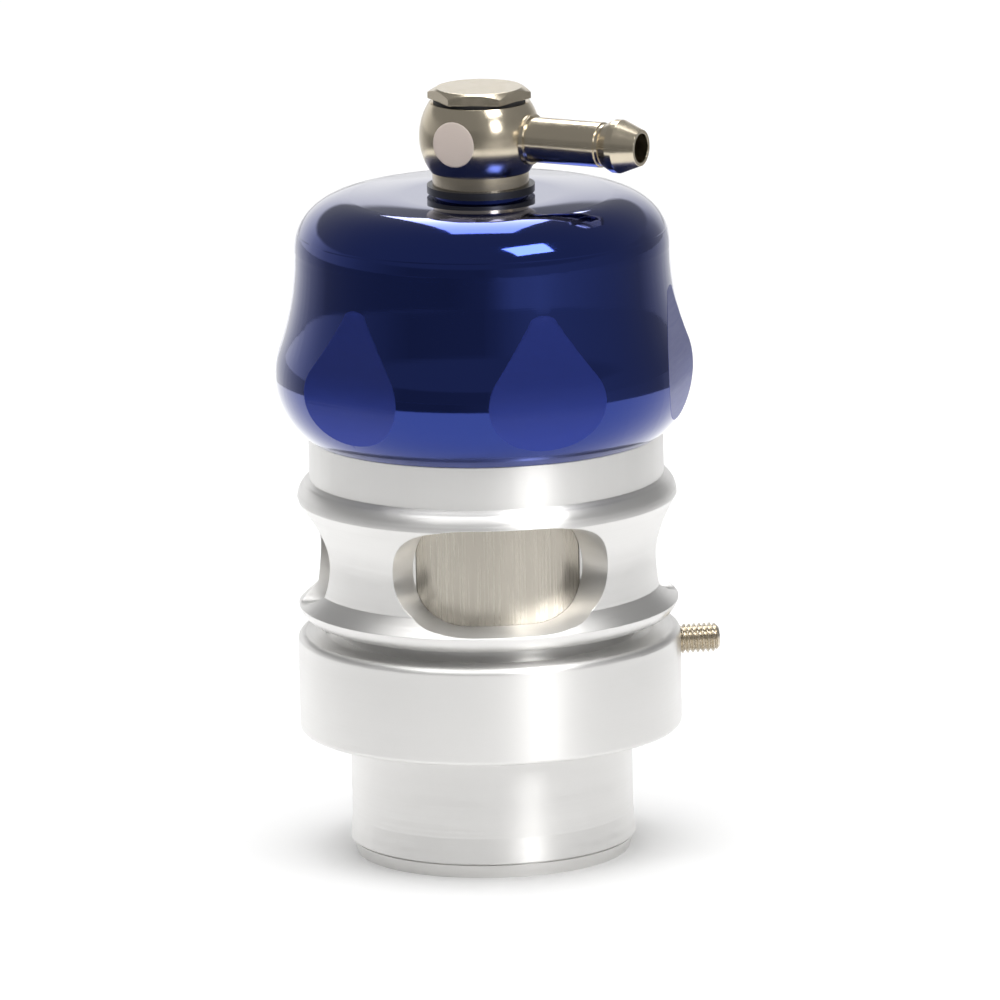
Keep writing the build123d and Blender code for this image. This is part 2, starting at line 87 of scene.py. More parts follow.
def placeCamera():
    outward, sideways = headings(view["azimuth"])
    eye = outward * view["distance"] + Vector((0, 0, view["height"]))
    aim = sideways * view["aimSide"] + Vector((0, 0, view["aimHeight"]))
    forward = (aim - eye).normalized()
    right = forward.cross(Vector((0, 0, 1))).normalized()
    up = right.cross(forward)
    roll = radians(view["roll"])
    tiltedRight = right * cos(roll) + up * sin(roll)
    tiltedUp = up * cos(roll) - right * sin(roll)
    camera = bpy.data.objects.new("camera", bpy.data.cameras.new("camera"))
    bpy.context.scene.collection.objects.link(camera)
    slant = (aim - eye).length
    frameWidth = view["imageSize"] / view["pixelsPerMm"] * mm  # at the aim
    camera.data.sensor_width = view["sensorWidth"]
    camera.data.lens = slant * camera.data.sensor_width / frameWidth
    camera.data.clip_end = view["farEnd"]
    turn = Matrix((tiltedRight, tiltedUp, -forward)).transposed()
    camera.matrix_world = Matrix.Translation(eye) @ turn.to_4x4()
    bpy.context.scene.camera = camera


placeCamera()
bpy.context.scene.view_settings.view_transform = "Standard"
print("camera placed")


# Colours and nodes

def linear(hexColour):
    channels = [int(hexColour[i:i + 2], 16) / 255 for i in (1, 3, 5)]
    return [c / 12.92 if c <= 0.04045 else ((c + 0.055) / 1.055) ** 2.4 for c in channels] + [1.0]


def addNode(tree, kind, inputs=None, **settings):
    # An input is a value, a socket, or a node that gives its first output
    node = tree.nodes.new(kind)
    for name, value in settings.items():
        setattr(node, name, value)
    for key, value in (inputs or {}).items():
        if isinstance(value, bpy.types.Node):
            value = value.outputs[0]
        if isinstance(value, bpy.types.NodeSocket):
            tree.links.new(value, node.inputs[key])
        else:
            node.inputs[key].default_value = value
    return node


patterns = {
    "low": 0.3, "high": 0.7,  # between these lies most of a noise
    "roughness": 0.6,         # how strong a noise's fine detail is
    "reliefDepth": 0.03,      # millimetres, at a bump of 1
    "bevelSamples": 4,
}


def noise(tree, place, size, detail=3.0, stretch=(1.0, 1.0, 1.0)):
    # Size is in millimetres, and each stretch draws the pattern out along that axis
    scaled = addNode(tree, "ShaderNodeMapping", {"Vector": place, "Scale": [1 / s for s in stretch]})
    return addNode(tree, "ShaderNodeTexNoise", {
        "Vector": scaled, "Scale": 1 / (size * mm), "Detail": detail, "Roughness": patterns["roughness"]})


def between(tree, value, low, high):
    above = addNode(tree, "ShaderNodeMath", {0: value, 1: low}, operation="GREATER_THAN")
    below = addNode(tree, "ShaderNodeMath", {0: value, 1: high}, operation="LESS_THAN")
    return addNode(tree, "ShaderNodeMath", {0: above, 1: below}, operation="MULTIPLY")


def distance(tree, side, rise):
    flat = addNode(tree, "ShaderNodeCombineXYZ", {0: side, 1: rise})
    return addNode(tree, "ShaderNodeVectorMath", {0: flat}, operation="LENGTH").outputs["Value"]


def grooveAt(tree, z, height, width, depth):
    # Full depth at that height, and none half a width above or below it
    offset = addNode(tree, "ShaderNodeMath", {0: z, 1: height * mm}, operation="SUBTRACT")
    away = addNode(tree, "ShaderNodeMath", {0: offset}, operation="ABSOLUTE")
    return addNode(tree, "ShaderNodeMapRange", {
        "Value": away, "From Min": 0.0, "From Max": width / 2 * mm, "To Min": depth, "To Max": 0.0})


def turningPlace(tree, place):
    x, y, z = addNode(tree, "ShaderNodeSeparateXYZ", {0: place}).outputs
    return x, y, z, distance(tree, x, y)


def ringPlace(tree, radius, z):
    # Radius and height only, so that any pattern made from it runs round in rings
    return addNode(tree, "ShaderNodeCombineXYZ", {0: radius, 2: z})


def glossFrom(tree, look, tone):
    # Roughness that wavers with a pattern, below and above the look's own
    below, above = look["waver"]
    return addNode(tree, "ShaderNodeMapRange", {
        "Value": tone, "From Min": patterns["low"], "From Max": patterns["high"],
        "To Min": look["roughness"] - below, "To Max": look["roughness"] + above})


def newMaterial(name, look):
    material = bpy.data.materials.new(name)
    material.use_nodes = True
    tree = material.node_tree
    tree.nodes.clear()
    shader = addNode(tree, "ShaderNodeBsdfPrincipled", {
        "Base Color": linear(look["colour"]),
        "Metallic": look["metallic"],
        "Roughness": look["roughness"],
    })
    addNode(tree, "ShaderNodeOutputMaterial", {"Surface": shader})
    place = addNode(tree, "ShaderNodeTexCoord").outputs["Object"]
    return material, tree, shader, place


def finish(tree, shader, look, height, roughness, under=None):
    # Relief and gloss go in together, over edges that are broken by a hair or over a coarser relief
    relief = addNode(tree, "ShaderNodeBump", {
        "Strength": look["bump"], "Distance": patterns["reliefDepth"] * mm, "Height": height})
    if "edge" in look:
        under = addNode(tree, "ShaderNodeBevel", {"Radius": look["edge"] * mm},
                        samples=patterns["bevelSamples"])
    if under:
        tree.links.new(under.outputs[0], relief.inputs["Normal"])
    for key, source in (("Roughness", roughness), ("Normal", relief), ("Coat Normal", relief)):
        tree.links.new(source.outputs[0], shader.inputs[key])


# Turned aluminium, satin. The tool's fine rings, drawn coarser than real ones so that they show, pull every
# reflection out up and down, across them. The plain ring under the cap has an upright grain, and the
# M44 x 1.5 thread above it shows when the cap is screwed up.
turnedAluminium = {
    "colour": "#EAE9E7", "metallic": 1.0, "roughness": 0.36, "waver": (0.05, 0.09),
    "anisotropy": 0.8, "pullTurn": 0.25,  # a quarter turn, from along the rings to across them
    "edge": 0.16, "bump": 0.18, "ringSize": 0.28,
    "grainSize": 0.22, "grainStretch": 80.0, "grainRelief": 0.4, "grainFrom": 51.6, "grainTo": 57.6,
    "grooveHeight": 51.3, "grooveWidth": 0.5, "grooveDepth": 6.0,  # fine groove where the rim's nose begins
    "threadPitch": 1.5, "threadFrom": 57.6, "threadTo": 65.0, "threadRadius": 21.0, "threadRelief": 12.0,
}
# The crushed aluminium washer under the fitting, coloured dark grey all over
washerAlloy = {
    "colour": "#55565C", "metallic": 1.0, "roughness": 0.34, "waver": (0.05, 0.09),
    "anisotropy": 0.5, "pullTurn": 0.25,
    "bump": 0.3, "ringSize": 0.2,
}


def grainAndThread(tree, look, place, ringTone):
    # Tone and relief of the body: upright grain on the plain ring, thread over it, groove at its foot
    x, y, z, radius = turningPlace(tree, place)
    grain = noise(tree, place, look["grainSize"], detail=4.0, stretch=(1.0, 1.0, look["grainStretch"]))
    onRing = between(tree, z, look["grainFrom"] * mm, look["grainTo"] * mm)
    tone = addNode(tree, "ShaderNodeMix", {"Factor": onRing, "A": ringTone, "B": grain}, data_type="FLOAT")
    faint = addNode(tree, "ShaderNodeMath", {0: grain, 1: look["grainRelief"]}, operation="MULTIPLY")
    cuts = addNode(tree, "ShaderNodeMix", {"Factor": onRing, "A": ringTone, "B": faint}, data_type="FLOAT")
    angle = addNode(tree, "ShaderNodeMath", {0: y, 1: x}, operation="ARCTAN2")
    around = addNode(tree, "ShaderNodeMath", {0: angle, 1: tau}, operation="DIVIDE")
    upward = addNode(tree, "ShaderNodeMath", {0: z, 1: look["threadPitch"] * mm}, operation="DIVIDE")
    turns = addNode(tree, "ShaderNodeMath", {0: upward, 1: around}, operation="SUBTRACT")
    zigzag = addNode(tree, "ShaderNodeMath", {0: turns, 1: 0.5}, operation="PINGPONG")
    flank = addNode(tree, "ShaderNodeMath", {0: zigzag, 1: look["threadRelief"]}, operation="MULTIPLY")
    onNose = between(tree, z, look["threadFrom"] * mm, look["threadTo"] * mm)
    outside = addNode(tree, "ShaderNodeMath", {0: radius, 1: look["threadRadius"] * mm},
                      operation="GREATER_THAN")
    onThread = addNode(tree, "ShaderNodeMath", {0: onNose, 1: outside}, operation="MULTIPLY")
    height = addNode(tree, "ShaderNodeMath", {0: flank, 1: onThread, 2: cuts}, operation="MULTIPLY_ADD")
    groove = grooveAt(tree, z, look["grooveHeight"], look["grooveWidth"], look["grooveDepth"])
    return tone, addNode(tree, "ShaderNodeMath", {0: height, 1: groove}, operation="SUBTRACT")


def turnedMaterial(name, look):
    material, tree, shader, place = newMaterial(name, look)
    x, y, z, radius = turningPlace(tree, place)
    shader.inputs["Anisotropic"].default_value = look["anisotropy"]
    shader.inputs["Anisotropic Rotation"].default_value = look["pullTurn"]
    back = addNode(tree, "ShaderNodeMath", {0: y, 1: -1.0}, operation="MULTIPLY")
    aroundAxis = addNode(tree, "ShaderNodeCombineXYZ", {0: back, 1: x})
    turned = addNode(tree, "ShaderNodeVectorTransform", {0: aroundAxis},
                     vector_type="VECTOR", convert_from="OBJECT", convert_to="WORLD")
    tree.links.new(turned.outputs[0], shader.inputs["Tangent"])
    tone = height = noise(tree, ringPlace(tree, radius, z), look["ringSize"])
    if "grainSize" in look:
        tone, height = grainAndThread(tree, look, place, tone)
    finish(tree, shader, look, height, glossFrom(tree, look, tone))
    return material


# Piston aluminium: honed lengthwise, a warm grey with upright streaks
honedPiston = {
    "colour": "#BDB7AC", "metallic": 1.0, "roughness": 0.28, "waver": (0.08, 0.12), "bump": 0.06,
    "streakSize": 0.25, "streakStretch": 80.0,
}


def streakedMaterial(name, look):
    material, tree, shader, place = newMaterial(name, look)
    streaks = noise(tree, place, look["streakSize"], detail=4.0, stretch=(1.0, 1.0, look["streakStretch"]))
    finish(tree, shader, look, streaks, glossFrom(tree, look, streaks))
    return material


# Anodised cap: polished, dyed deep blue and sealed under a clear oxide, which gives the pale sheen at its
# limbs. The hand flats are left as milled: satin, with fine lines along them.
anodisedCap = {
    "colour": "#05297F", "metallic": 1.0, "roughness": 0.07, "waver": (0.02, 0.03), "bump": 0.08,
    "buffSize": 0.5, "coatRoughness": 0.06, "coatIor": 1.43, "millingPitch": 0.42, "millingRelief": 2.5,
    "flatRoughness": 0.42, "flatColour": "#303F90", "flatCoat": 0.3,
    "crownFrom": 10.5, "crownTo": 25.3, "crownDrop": 1.3,     # polishing has crowned the top face a little
    "lineHeight": 85.3, "lineWidth": 0.3, "lineDepth": 0.02,  # witness line where two cuts of the tool met
}
capFlats = {  # the shape of the hand flats, as in the solid: millimetres
    "azimuth": 13.0, "step": 60.0, "peakRadius": 27.0, "peakHeight": 65.6, "arc": 24.0, "turn": 4.0,
    "tipRadius": 25.6, "tipHeight": 77.6, "foot": 58.5, "end": 80.0, "tolerance": 0.035,
}


def flatArcs(flats):
    # Centre and radius of the barrel arc, and of the hollow arc that leaves it tangentially for the tip
    barrelCentre = (flats["peakRadius"] - flats["arc"], flats["peakHeight"])
    share = sqrt(flats["arc"] ** 2 - flats["turn"] ** 2)
    turnPoint = (barrelCentre[0] + share, flats["peakHeight"] + flats["turn"])
    outward = (share / flats["arc"], flats["turn"] / flats["arc"])
    across, up = flats["tipRadius"] - turnPoint[0], flats["tipHeight"] - turnPoint[1]
    hollow = (across ** 2 + up ** 2) / (2 * (across * outward[0] + up * outward[1]))
    hollowCentre = (turnPoint[0] + hollow * outward[0], turnPoint[1] + hollow * outward[1])
    return (barrelCentre, flats["arc"]), (hollowCentre, abs(hollow))


def onHandFlat(tree, flats, x, y, z, radius):
    # Azimuth from the nearest flat's middle, and from it the distance out along that flat's own direction
    back = addNode(tree, "ShaderNodeMath", {0: y, 1: -1.0}, operation="MULTIPLY")
    azimuth = addNode(tree, "ShaderNodeMath", {0: x, 1: back}, operation="ARCTAN2")
    turned = addNode(tree, "ShaderNodeMath", {0: azimuth, 1: radians(flats["azimuth"])}, operation="SUBTRACT")
    half = radians(flats["step"]) / 2
    fromFlat = addNode(tree, "ShaderNodeMath", {0: turned, 1: half, 2: -half}, operation="WRAP")
    share = addNode(tree, "ShaderNodeMath", {0: fromFlat}, operation="COSINE")
    outward = addNode(tree, "ShaderNodeMath", {0: radius, 1: share}, operation="MULTIPLY")
    tolerance = flats["tolerance"] * mm
    near = []
    for (centre, height), arc in flatArcs(flats):
        side = addNode(tree, "ShaderNodeMath", {0: outward, 1: centre * mm}, operation="SUBTRACT")
        rise = addNode(tree, "ShaderNodeMath", {0: z, 1: height * mm}, operation="SUBTRACT")
        reach = distance(tree, side, rise)
        close = addNode(tree, "ShaderNodeMath", {0: reach, 1: arc * mm, 2: tolerance}, operation="COMPARE")
        near.append(close)
    turnHeight = (flats["peakHeight"] + flats["turn"]) * mm
    lower = addNode(tree, "ShaderNodeMath", {0: z, 1: turnHeight}, operation="LESS_THAN")
    onFlat = addNode(tree, "ShaderNodeMix", {"Factor": lower, "A": near[1], "B": near[0]}, data_type="FLOAT")
    atTip = addNode(tree, "ShaderNodeMath", {0: outward, 1: flats["tipRadius"] * mm, 2: tolerance},
                    operation="COMPARE")
    above = addNode(tree, "ShaderNodeMath", {0: z, 1: flats["tipHeight"] * mm}, operation="GREATER_THAN")
    onFlat = addNode(tree, "ShaderNodeMix", {"Factor": above, "A": onFlat, "B": atTip}, data_type="FLOAT")
    onHeight = between(tree, z, flats["foot"] * mm, flats["end"] * mm)
    return addNode(tree, "ShaderNodeMath", {0: onFlat, 1: onHeight}, operation="MULTIPLY")


def tintFlats(tree, shader, look, onFlat):
    tint = addNode(tree, "ShaderNodeMix", {
        "Factor": onFlat, "A": linear(look["colour"]), "B": linear(look["flatColour"])}, data_type="RGBA")
    tree.links.new(tint.outputs["Result"], shader.inputs["Base Color"])


def dullFlats(tree, look, onFlat, gloss):
    duller = look["flatRoughness"] - look["roughness"]
    return addNode(tree, "ShaderNodeMath", {0: onFlat, 1: duller, 2: gloss}, operation="MULTIPLY_ADD")


def anodisedMaterial(name, look, flats):
    material, tree, shader, place = newMaterial(name, look)
    x, y, z, radius = turningPlace(tree, place)
    shader.inputs["Coat Roughness"].default_value = look["coatRoughness"]
    shader.inputs["Coat IOR"].default_value = look["coatIor"]
    onFlat = onHandFlat(tree, flats, x, y, z, radius)
    tintFlats(tree, shader, look, onFlat)
    coat = addNode(tree, "ShaderNodeMapRange", {"Value": onFlat, "To Min": 1.0, "To Max": look["flatCoat"]})
    tree.links.new(coat.outputs[0], shader.inputs["Coat Weight"])
    buffing = noise(tree, ringPlace(tree, radius, z), look["buffSize"])
    passes = addNode(tree, "ShaderNodeMath", {0: z, 1: look["millingPitch"] * mm}, operation="DIVIDE")
    lines = addNode(tree, "ShaderNodeMath", {0: passes, 1: 0.5}, operation="PINGPONG")
    milling = addNode(tree, "ShaderNodeMath", {0: lines, 1: look["millingRelief"]}, operation="MULTIPLY")
    height = addNode(tree, "ShaderNodeMath", {0: onFlat, 1: milling, 2: buffing}, operation="MULTIPLY_ADD")
    fall = addNode(tree, "ShaderNodeMapRange", {
        "Value": radius, "From Min": look["crownFrom"] * mm, "From Max": look["crownTo"] * mm,
        "To Min": look["crownDrop"], "To Max": 0.0}, interpolation_type="SMOOTHSTEP")
    line = grooveAt(tree, z, look["lineHeight"], look["lineWidth"], look["lineDepth"])
    form = addNode(tree, "ShaderNodeMath", {0: fall, 1: line}, operation="SUBTRACT")
    crown = addNode(tree, "ShaderNodeBump", {"Strength": 1.0, "Distance": mm, "Height": form})
    gloss = glossFrom(tree, look, buffing)
    finish(tree, shader, look, height, dullFlats(tree, look, onFlat, gloss), crown)
    return material


# Bright nickel over brass: warm, mirror-like and slightly wavy from the polish. The fitting's two side
# flats are faced satin, with rings about their middle.
nickelPlate = {
    "colour": "#D2C7B2", "metallic": 1.0, "roughness": 0.19, "waver": (0.03, 0.05), "bump": 0.25,
    "edge": 0.12, "waveSize": 2.2,
    "sideFlat": 7.6, "sideReach": 5.0, "sideAzimuth": -33.0, "fittingHeight": 98.0, "facingPitch": 0.3,
    "flatRoughness": 0.50, "flatColour": "#D8CAC0", "flatMetal": 0.3,
}


def nickelMaterial(name, look):
    material, tree, shader, place = newMaterial(name, look)
    waves = noise(tree, place, look["waveSize"], detail=2.0)
    z = addNode(tree, "ShaderNodeSeparateXYZ", {0: place}).outputs[2]
    facing, level = headings(look["sideAzimuth"])
    across = addNode(tree, "ShaderNodeVectorMath", {0: place, 1: facing}, operation="DOT_PRODUCT")
    sideways = addNode(tree, "ShaderNodeVectorMath", {0: place, 1: level}, operation="DOT_PRODUCT")
    along = sideways.outputs["Value"]
    depth = addNode(tree, "ShaderNodeMath", {0: across.outputs["Value"]}, operation="ABSOLUTE")
    atFace = addNode(tree, "ShaderNodeMath", {0: depth, 1: look["sideFlat"] * mm}, operation="GREATER_THAN")
    atMiddle = between(tree, along, -look["sideReach"] * mm, look["sideReach"] * mm)
    onFlat = addNode(tree, "ShaderNodeMath", {0: atFace, 1: atMiddle}, operation="MULTIPLY")
    tintFlats(tree, shader, look, onFlat)
    metal = addNode(tree, "ShaderNodeMapRange", {"Value": onFlat, "To Min": 1.0, "To Max": look["flatMetal"]})
    tree.links.new(metal.outputs[0], shader.inputs["Metallic"])
    rise = addNode(tree, "ShaderNodeMath", {0: z, 1: look["fittingHeight"] * mm}, operation="SUBTRACT")
    reach = distance(tree, along, rise)
    passes = addNode(tree, "ShaderNodeMath", {0: reach, 1: look["facingPitch"] * mm}, operation="DIVIDE")
    lines = addNode(tree, "ShaderNodeMath", {0: passes, 1: 0.5}, operation="PINGPONG")
    height = addNode(tree, "ShaderNodeMath", {0: lines, 1: onFlat, 2: waves}, operation="MULTIPLY_ADD")
    gloss = glossFrom(tree, look, waves)
    finish(tree, shader, look, height, dullFlats(tree, look, onFlat, gloss))
    return material


# Zinc-nickel screw steel: semi-bright, a little brown
screwSteel = {
    "colour": "#CFC6B6", "metallic": 1.0, "roughness": 0.26, "waver": (0.05, 0.07),
    "bump": 0.3, "waveSize": 0.4,
}
# Oiled spring wire: dark, with a soft shine
springWire = {
    "colour": "#8B8E93", "metallic": 1.0, "roughness": 0.28, "waver": (0.05, 0.07),
    "bump": 0.3, "waveSize": 0.6,
}
# Moulded nitrile rubber: black and dull
sealRubber = {
    "colour": "#15161A", "metallic": 0.0, "roughness": 0.55, "waver": (0.05, 0.07),
    "bump": 0.5, "waveSize": 0.5,
}
# Filled fluoropolymer, for the piston's guide band and the thrust washer: brown and waxy
bandPlastic = {
    "colour": "#4A3C30", "metallic": 0.0, "roughness": 0.45, "waver": (0.05, 0.07),
    "bump": 0.4, "waveSize": 0.4,
}


def mottledMaterial(name, look):
    material, tree, shader, place = newMaterial(name, look)
    waves = noise(tree, place, look["waveSize"])
    finish(tree, shader, look, waves, glossFrom(tree, look, waves))
    return material


materials = {
    "blue_anodised": anodisedMaterial("blueAnodisedAluminium", anodisedCap, capFlats),
    "machined_aluminium": turnedMaterial("turnedAluminium", turnedAluminium),
    "piston_aluminium": streakedMaterial("honedAluminium", honedPiston),
    "nickel_plate": nickelMaterial("brightNickel", nickelPlate),
    "nickel_steel": mottledMaterial("screwSteel", screwSteel),
    "spring_steel": mottledMaterial("springWire", springWire),
    "washer_alloy": turnedMaterial("washerAluminium", washerAlloy),
    "bearing_plastic": mottledMaterial("guideBandPlastic", bandPlastic),
    "seal_rubber": mottledMaterial("nitrileRubber", sealRubber),
}
slotOf = {part["node"]: part["material_slot"] for part in record["subparts"]}
for name, node in nodes.items():
    node.data.materials.clear()
    node.data.materials.append(materials[slotOf[name]])
print("materials made")


# Clamp screws: M4 x 0.7 thread from Geometry Nodes over a turned core with a hexagon socket
clampScrews = {
    "pitch": 0.7, "crest": 1.99, "root": 1.58, "flankFrom": 0.06, "flankTo": 0.44,  # flank, in pitches
    "endRadius": 1.45, "coreEase": 0.04, "edgeEase": 0.1,
    "threadStart": 0.78, "threadEnd": 0.02, "aroundSteps": 72, "stepsPerTurn": 16,
    "pointRadius": 0.7, "socket": 2.0, "socketDepth": 2.2, "height": 27.2, "sharpAngle": 28.0,
    "screws": {
        "clampScrewOut": {
            "replaces": "clamp_screw_backed_out", "body": "right_screw",
            "azimuth": 95.0, "tip": 23.4, "length": 8.0,
        },
        "clampScrewIn": {
            "replaces": "clamp_screw_home", "body": "rear_screw",
            "azimuth": 215.0, "tip": 20.65, "length": 5.0,
        },
    },
}


def threadTree(look):
    tree = bpy.data.node_groups.new("screwThread", "GeometryNodeTree")
    sockets = {
        "Pitch": "Float", "Crest Radius": "Float", "Root Radius": "Float", "End Radius": "Float",
        "Length": "Float", "Steps Around": "Int", "Steps Along": "Int", "Finish": "Material",
    }
    for name, kind in sockets.items():
        tree.interface.new_socket(name, in_out="INPUT", socket_type="NodeSocket" + kind)
    tree.interface.new_socket("Thread", in_out="OUTPUT", socket_type="NodeSocketGeometry")
    given = addNode(tree, "NodeGroupInput").outputs
    grid = addNode(tree, "GeometryNodeMeshGrid", {
        "Size X": 1.0, "Size Y": 1.0,
        "Vertices X": given["Steps Around"], "Vertices Y": given["Steps Along"]})
    spot = addNode(tree, "ShaderNodeSeparateXYZ", {0: addNode(tree, "GeometryNodeInputPosition")}).outputs
    turn = addNode(tree, "ShaderNodeMath", {0: spot[0], 1: 0.5}, operation="ADD")
    share = addNode(tree, "ShaderNodeMath", {0: spot[1], 1: 0.5}, operation="ADD")
    height = addNode(tree, "ShaderNodeMath", {0: share, 1: given["Length"]}, operation="MULTIPLY")
    upward = addNode(tree, "ShaderNodeMath", {0: height, 1: given["Pitch"]}, operation="DIVIDE")
    phase = addNode(tree, "ShaderNodeMath", {0: upward, 1: turn}, operation="SUBTRACT")
    zigzag = addNode(tree, "ShaderNodeMath", {0: phase, 1: 0.5}, operation="PINGPONG")
    flank = addNode(tree, "ShaderNodeMapRange", {
        "Value": zigzag, "From Min": look["flankFrom"], "From Max": look["flankTo"],
        "To Min": given["Root Radius"], "To Max": given["Crest Radius"]})
    toTop = addNode(tree, "ShaderNodeMath", {0: given["Length"], 1: height}, operation="SUBTRACT")
    fromEnd = addNode(tree, "ShaderNodeMath", {0: height, 1: toTop}, operation="MINIMUM")
    runOut = addNode(tree, "ShaderNodeMath", {0: fromEnd, 1: given["End Radius"]}, operation="ADD")
    radius = addNode(tree, "ShaderNodeMath", {0: flank, 1: runOut}, operation="MINIMUM")
    angle = addNode(tree, "ShaderNodeMath", {0: turn, 1: tau}, operation="MULTIPLY")
    cosine = addNode(tree, "ShaderNodeMath", {0: angle}, operation="COSINE")
    sine = addNode(tree, "ShaderNodeMath", {0: angle}, operation="SINE")
    wrapped = addNode(tree, "ShaderNodeCombineXYZ", {
        0: addNode(tree, "ShaderNodeMath", {0: radius, 1: cosine}, operation="MULTIPLY"),
        1: addNode(tree, "ShaderNodeMath", {0: radius, 1: sine}, operation="MULTIPLY"),
        2: height})
    rolled = addNode(tree, "GeometryNodeSetPosition", {"Geometry": grid, "Position": wrapped})
    sewn = addNode(tree, "GeometryNodeMergeByDistance", {"Geometry": rolled, "Distance": weld})
    real = addNode(tree, "GeometryNodeRealizeInstances", {"Geometry": sewn})
    dressed = addNode(tree, "GeometryNodeSetMaterial", {"Geometry": real, "Material": given["Finish"]})
    addNode(tree, "NodeGroupOutput", {0: dressed})
    return tree


def grown(tree, name, inputs):
    # The tree's result as a plain mesh
    carrier = bpy.data.objects.new(name, bpy.data.meshes.new(name))
    bpy.context.scene.collection.objects.link(carrier)
    growth = carrier.modifiers.new("growth", "NODES")
    growth.node_group = tree
    keys = {item.name: item.identifier for item in tree.interface.items_tree}
    for key, value in inputs.items():
        growth[keys[key]] = value
    bpy.context.view_layer.update()
    mesh = bpy.data.meshes.new_from_object(carrier.evaluated_get(bpy.context.evaluated_depsgraph_get()))
    bpy.data.objects.remove(carrier)
    return mesh


def ringsMesh(rings):
    # Skin over rings of points, which are closed at both ends by their last rings' middles
    shape = bmesh.new()
    count = len(rings[0])
    rows = [[shape.verts.new(point) for point in ring] for ring in rings]
    for below, above in zip(rows, rows[1:]):
        for index in range(count):
            after = (index + 1) % count
            shape.faces.new((below[index], below[after], above[after], above[index]))
    for row, flip in ((rows[0], True), (rows[-1], False)):
        middle = shape.verts.new(sum((vert.co for vert in row), Vector()) / count)
        for index in range(count):
            edge = (row[index], row[(index + 1) % count])
            shape.faces.new((middle, *(reversed(edge) if flip else edge)))
    return shape


def roundRing(angles, radii, height):
    return [Vector((r * cos(a), r * sin(a), height)) for a, r in zip(angles, radii)]


def screwCore(look, length, angles):
    # From the point over the shank to the head end, then down inside the hexagon socket
    core = look["endRadius"] + look["coreEase"]
    outline = [(0, look["pointRadius"]), (look["threadStart"] + look["edgeEase"], core),
               (length - look["edgeEase"], core), (length, look["endRadius"] - look["coreEase"])]
    rings = [roundRing(angles, [radius] * len(angles), height) for height, radius in outline]
    hexagon = [look["socket"] / 2 / cos((angle + pi / 6) % (pi / 3) - pi / 6) for angle in angles]
    rings += [roundRing(angles, hexagon, height) for height in (length, length - look["socketDepth"])]
    return ringsMesh(rings)


def addPiece(name, mesh, slot, body, replaced, sharpAngle):
    mesh.materials.clear()
    mesh.materials.append(materials[slot])
    mesh.shade_smooth()
    mesh.set_sharp_from_angle(angle=radians(sharpAngle))
    piece = bpy.data.objects.new(name, mesh)
    bpy.context.scene.collection.objects.link(piece)
    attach(piece, body)
    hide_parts(replaced)
    return piece


def buildClampScrews(look):
    tree = threadTree(look)
    around = look["aroundSteps"]
    angles = [tau * index / around for index in range(around)]
    for name, screw in look["screws"].items():
        shape = screwCore(look, screw["length"], angles)
        threadLength = screw["length"] - look["threadStart"] - look["threadEnd"]
        thread = grown(tree, name + "Thread", {
            "Pitch": look["pitch"] * mm, "Crest Radius": look["crest"] * mm,
            "Root Radius": look["root"] * mm, "End Radius": look["endRadius"] * mm,
            "Length": threadLength * mm, "Steps Around": around + 1,
            "Steps Along": round(threadLength / look["pitch"] * look["stepsPerTurn"]),
            "Finish": materials["nickel_steel"]})
        thread.transform(Matrix.Scale(1 / mm, 4))
        thread.transform(Matrix.Translation((0, 0, look["threadStart"])))
        shape.from_mesh(thread)
        heading = headings(screw["azimuth"])[0]
        turn = heading.to_track_quat("Z", "Y").to_matrix().to_4x4()
        start = Matrix.Translation(heading * screw["tip"] + Vector((0, 0, look["height"])))
        shape.transform(Matrix.Scale(mm, 4) @ start @ turn)
        bmesh.ops.recalc_face_normals(shape, faces=shape.faces)
        mesh = bpy.data.meshes.new(name)
        shape.to_mesh(mesh)
        shape.free()
        addPiece(name, mesh, "nickel_steel", screw["body"], screw["replaces"], look["sharpAngle"])


buildClampScrews(clampScrews)
print("clamp screws built")


# Return spring: the solid's own wire, welded into one mesh, which rides with the piston
returnSpring = {"replaces": "return_spring", "body": "piston", "joint": "piston_lift", "sharpAngle": 40.0}


def buildReturnSpring(look):
    shape = bmesh.new()
    shape.from_mesh(nodes[look["replaces"]].data)
    bmesh.ops.remove_doubles(shape, verts=shape.verts, dist=weld)
    mesh = bpy.data.meshes.new("returnSpring")
    shape.to_mesh(mesh)
    shape.free()
    spring = addPiece("returnSpring", mesh, "spring_steel", look["body"], look["replaces"],
                      look["sharpAngle"])
    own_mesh(spring)


buildReturnSpring(returnSpring)
print("return spring built")


